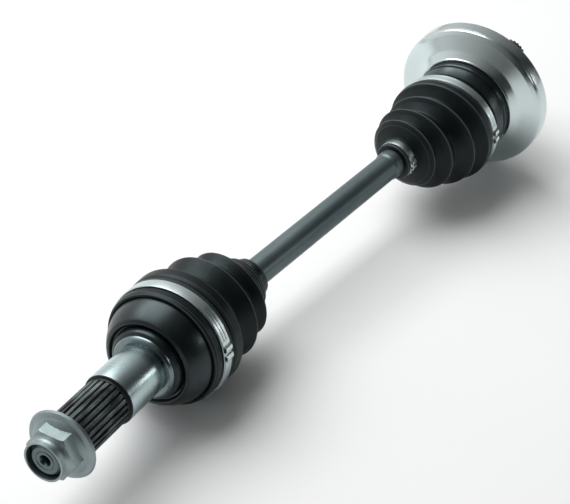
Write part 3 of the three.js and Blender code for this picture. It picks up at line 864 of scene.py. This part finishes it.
# ---------- clamps ----------
def strap(path, low, high, thickness):
    """A bent strip from low to high along X. path holds (angle, radius) points of its middle line."""
    half = thickness / 2
    soft = min(0.25, half * 0.8)
    corners = [(low, -half), (low, half - soft), (low + soft, half)]
    corners += [(high - soft, half), (high, half - soft), (high, -half)]
    rings = []
    for i, (a, r) in enumerate(path):
        here = ring_point(0, r, a)
        before_a, before_r = path[max(0, i - 1)]
        after_a, after_r = path[min(len(path) - 1, i + 1)]
        along = ring_point(0, after_r, after_a) - ring_point(0, before_r, before_a)
        out = Vector((1, 0, 0)).cross(along).normalized()
        if out.dot(here) < 0:
            out = -out
        rings.append([here + out * h + Vector((x, 0, 0)) for x, h in corners])
    return rings, False


def band_clamp(name, place, low, high, radius, ear_deg, material, slim=False):
    """A band clamp: hoop, overlapping tongue with its slot, a crimped ear and the tail beyond it."""
    inner = radius - 1
    outer = radius - 0.1
    section = rounded([(low, inner), (low, outer), (high, outer), (high, inner)], 0.22, closed=True)
    parts = [(revolved(section, even_angles(FINE)), True)]
    ear = math.radians(ear_deg)

    def sweep(start, end, height, steps):
        """Points from start to end, in millimetres of arc from the ear."""
        runs = [start + (end - start) * i / steps for i in range(steps + 1)]
        return [(ear + run / radius, radius + height) for run in runs]

    wide = high - low
    rail = wide * 0.305
    reach = radius * (0.5 if slim else 0.78)
    for side in (low + 0.25, high - 0.25 - rail):
        parts.append(strap(sweep(-reach, -6.5, 0.15, 16), side, side + rail, 0.6))
    middle = (low + high) / 2
    tongue = wide * 0.13
    parts.append(strap(sweep(-reach * 0.93, -8.5, 0.12, 14), middle - tongue, middle + tongue, 0.5))
    parts.append(strap(sweep(-reach - 3, -reach + 0.4, 0.24, 4), low + 0.25, high - 0.25, 0.6))
    parts.append(strap(sweep(-8.8, -5.8, 0.3, 4), low + 0.25, high - 0.25, 0.6))
    humps = [(-5.2, 0.2), (-4.6, 1.2), (-3.8, 1.7), (-2.2, 1.7), (-1.4, 1.3), (-1.1, 0.2)]
    humps += [(1.1, 0.2), (1.4, 1.3), (2.2, 1.7), (3.8, 1.7), (4.6, 1.2), (5.2, 0.2), (8, 0.2)]
    squeeze = 0.72 if slim else 1
    arch = [(ear + t * squeeze / radius, radius + h * squeeze) for t, h in humps]
    parts.append(strap(arch, low + 0.7, high - 0.7, 0.8))
    parts.append(strap(sweep(8, reach * 0.9, 0.25, 16), low + 0.9, high - 0.9, 0.6))
    return piece(name, parts, material, place, 35)


# ---------- the axle ----------
def ride(obj, body, slot, *stands_for):
    """Puts the piece on its body, in place of the CAD nodes that it stands for. Its slot is not used."""
    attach(obj, body)
    if stands_for:
        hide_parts(*stands_for)


def build_metal():
    """The bell, stub, nut, bar, cup and shield."""
    ride(bell(), "wheel_stub", "black_paint", "outer_joint_housing")
    ride(shoulder_ring(), "wheel_stub", "bearing_steel")
    ride(bearing_seat(), "wheel_stub", "bearing_steel")
    ride(relief_ring(), "wheel_stub", "dark_steel")
    wheel_spline = (WHEEL_SPLINE_R, 1.5, WHEEL_TEETH, PHOSPHATE, STUB, THREAD_R - 1, 1.6)
    teeth = splined("wheel_teeth", SPLINE_START, SPLINE_END, *wheel_spline)
    ride(teeth, "wheel_stub", "dark_steel")
    ride(threaded_end(), "wheel_stub", "dark_steel")
    ride(axle_nut(), "nut", "zinc", "axle_nut")

    ride(bar(), "bar", "dark_steel", "axle_bar")
    for end in bar_ends():
        ride(end, "bar", "dark_steel")

    ride(cup(), "diff_stub", "black_paint", "inner_joint_housing")
    seat, long_end, short_end, core = differential_stub()
    ride(seat, "diff_stub", "bearing_steel")
    for made in (long_end, short_end, core):
        ride(made, "diff_stub", "dark_steel")
    ride(shield(), "diff_stub", "zinc", "dust_shield")
    clip = open_ring("stub_wire_clip", DIFF_GROOVE, 1.4, 10.9, 13.1, 18, CLAMP_STEEL, CUP)
    ride(clip, "diff_stub", "zinc", "inner_stub_circlip")


def build_boots():
    """Both boots, in strips that start and end where two bodies' motions meet."""
    outer = boot(
        "outer_boot_rubber", OUTER_BOOT, outer_centre, stub_axis, outer_hinge,
        bend=(16, 76), sag=0, seat=(BELL_R + 0.25, 19), splits=[34.5],
        strips=[
            (("wheel_stub", "outer_cage"), (15.5, 34.5)),
            (("outer_cage", "bar"), (34.5, 70)),
        ],
    )
    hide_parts("outer_boot")

    inner = boot(
        "inner_boot_rubber", INNER_BOOT, inner_centre, cup_axis, inner_hinge,
        bend=(-36, -82), sag=2.2, seat=(CUP_R + 0.4, -36), splits=[-47.2, -60.6],
        strips=[
            (("diff_stub", "inner_boot"), (-36, -47.2)),
            (("inner_boot", "inner_cage"), (-47.2, -60.6)),
            (("inner_cage", "bar"), (-60.6, -82)),
        ],
    )
    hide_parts("inner_boot")


def build_clamps():
    """The four band clamps."""
    large = band_clamp("outer_large_clamp", STUB, 3, 11.5, 42, 170, CLAMP_STEEL)
    ride(large, "wheel_stub", "zinc", "outer_boot_large_clamp")
    small = band_clamp("outer_small_clamp", BAR, 80.6, 84.8, SMALL_CLAMP_R, 20, PAINT, slim=True)
    ride(small, "bar", "black_paint", "outer_boot_small_clamp")
    low, high = SPAN - 91, SPAN - 85.5
    small = band_clamp("inner_small_clamp", BAR, low, high, SMALL_CLAMP_R, 175, CLAMP_STEEL, slim=True)
    ride(small, "bar", "zinc", "inner_boot_small_clamp")
    large = band_clamp("inner_large_clamp", CUP, -32.5, -26, 40.6, 175, CLAMP_STEEL)
    ride(large, "diff_stub", "zinc", "inner_boot_large_clamp")


def finish_hidden_parts():
    """The carried-over pieces inside the joints: races, cages, balls and rings."""
    for name, node in frame["nodes"].items():
        node.data.materials.clear()
        node.data.materials.append(TURNED if "race" in name else GROUND)


# ---------- stage ----------
CAMERA_AT = Vector((-0.6573, -0.5039, 0.661))  # in metres
CAMERA_LOOK = Vector((0.6225, 0.4952, -0.6060))
LENS = 94.7


def floor():
    """A plain white floor with a very faint cloudiness."""
    mesh = bpy.data.meshes.new("floor")
    half = 12
    corners = [(-half, -half, 0), (half, -half, 0), (half, half, 0), (-half, half, 0)]
    mesh.from_pydata(corners, [], [(0, 1, 2, 3)])
    made = bpy.data.objects.new("floor", mesh)
    bpy.context.scene.collection.objects.link(made)
    m = Nodes("white_floor", (0.9, 0.9, 0.9), 0, 0.75, Specular_IOR_Level=0.2)
    cloud = m.ranged(m.noise(3, 3), 0, 1)
    m.to("Base Color", m.colours(cloud, (0.89, 0.895, 0.895), (0.91, 0.915, 0.915)))
    mesh.materials.append(m.material)


def area_light(name, at, size, power):
    """A white rectangular light aimed at the part."""
    data = bpy.data.lights.new(name, "AREA")
    data.shape = "RECTANGLE"
    data.size, data.size_y = size
    data.energy = power
    made = bpy.data.objects.new(name, data)
    bpy.context.scene.collection.objects.link(made)
    made.location = at
    made.rotation_euler = (-at).to_track_quat("-Z", "Y").to_euler()


def toward(azimuth, elevation, distance):
    """The place that distance away, azimuth degrees from +X towards +Y and elevation degrees up."""
    a, e = math.radians(azimuth), math.radians(elevation)
    return Vector((math.cos(a) * math.cos(e), math.sin(a) * math.cos(e), math.sin(e))) * distance


def lights():
    """A softbox high behind the part, and two weak strips for the streaks along its front."""
    area_light("main_softbox", toward(88, 60, 1.7), (1.5, 1.5), 30)
    area_light("side_strip", toward(-64, 19, 2), (0.5, 0.3), 2.4)
    area_light("low_strip", toward(-37, 9, 2), (0.2, 0.4), 1.6)


def world():
    """A room that is pale behind the part and dark in front of it."""
    made = bpy.data.worlds.new("studio")
    made.use_nodes = True
    tree = made.node_tree
    back = tree.nodes["Background"]
    place = tree.nodes.new("ShaderNodeTexCoord")
    facing = tree.nodes.new("ShaderNodeVectorMath")
    facing.operation = "DOT_PRODUCT"
    facing.inputs[1].default_value = toward(95, 10, 1)
    spread = tree.nodes.new("ShaderNodeMapRange")
    spread.inputs["From Min"].default_value = -1
    ramp = tree.nodes.new("ShaderNodeValToRGB")
    tree.links.new(place.outputs["Generated"], facing.inputs[0])
    tree.links.new(facing.outputs["Value"], spread.inputs["Value"])
    tree.links.new(spread.outputs["Result"], ramp.inputs["Fac"])
    tree.links.new(ramp.outputs["Color"], back.inputs["Color"])
    low, high = ramp.color_ramp.elements
    low.position, low.color = 0.3, (0.03, 0.034, 0.035, 1)
    high.position, high.color = 0.97, (1, 1, 1, 1)
    for position, tone in ((0.5, 0.2), (0.75, 0.55)):
        ramp.color_ramp.elements.new(position).color = (tone, tone, tone, 1)
    back.inputs["Strength"].default_value = 1
    bpy.context.scene.world = made


def camera():
    """The camera, which looks down along the axle from the nut's end."""
    data = bpy.data.cameras.new("camera")
    data.sensor_width = 36
    data.lens = LENS
    data.clip_start, data.clip_end = 0.05, 60
    made = bpy.data.objects.new("camera", data)
    bpy.context.scene.collection.objects.link(made)
    made.location = CAMERA_AT
    made.rotation_euler = CAMERA_LOOK.to_track_quat("-Z", "Y").to_euler()
    bpy.context.scene.camera = made


finish_hidden_parts()
build_metal()
build_boots()
build_clamps()
floor()
lights()
world()
camera()
bpy.context.scene.view_settings.view_transform = "Standard"
